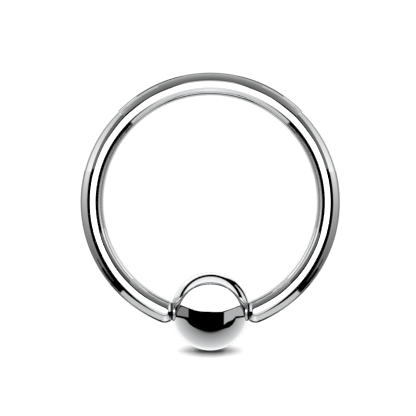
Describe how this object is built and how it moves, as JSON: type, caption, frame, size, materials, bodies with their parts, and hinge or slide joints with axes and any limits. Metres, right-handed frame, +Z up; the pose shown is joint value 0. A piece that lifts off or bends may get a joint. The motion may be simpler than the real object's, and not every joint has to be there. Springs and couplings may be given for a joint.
{
  "type": "captive bead ring",
  "caption": "Round steel hoop with an open front whose domed ends press into the dimples of a larger ball that closes it; the ball turns on the line between its dimples.",
  "frame": {"origin": "on the surface that the ring lies on, under the middle of its outline", "axes": "+Z up, -Y towards the bead, +Y towards the far side of the hoop, X along the line through the two wire ends that the bead turns on"},
  "size_m": [0.0136, 0.0146, 0.0041],
  "materials": {
    "hoop_steel": "mirror-polished surgical steel wire",
    "bead_steel": "mirror-polished surgical steel ball"
  },
  "bodies": {
    "hoop_body": {"hoop": "hoop_steel"},
    "bead_body": {"bead": "bead_steel"}
  },
  "joints": [
    {"name": "bead_spin", "type": "hinge", "parent": "hoop_body", "child": "bead_body", "pos_m": [0, -0.00524, 0.00205], "axis": [1, 0, 0], "continuous": true}
  ]
}
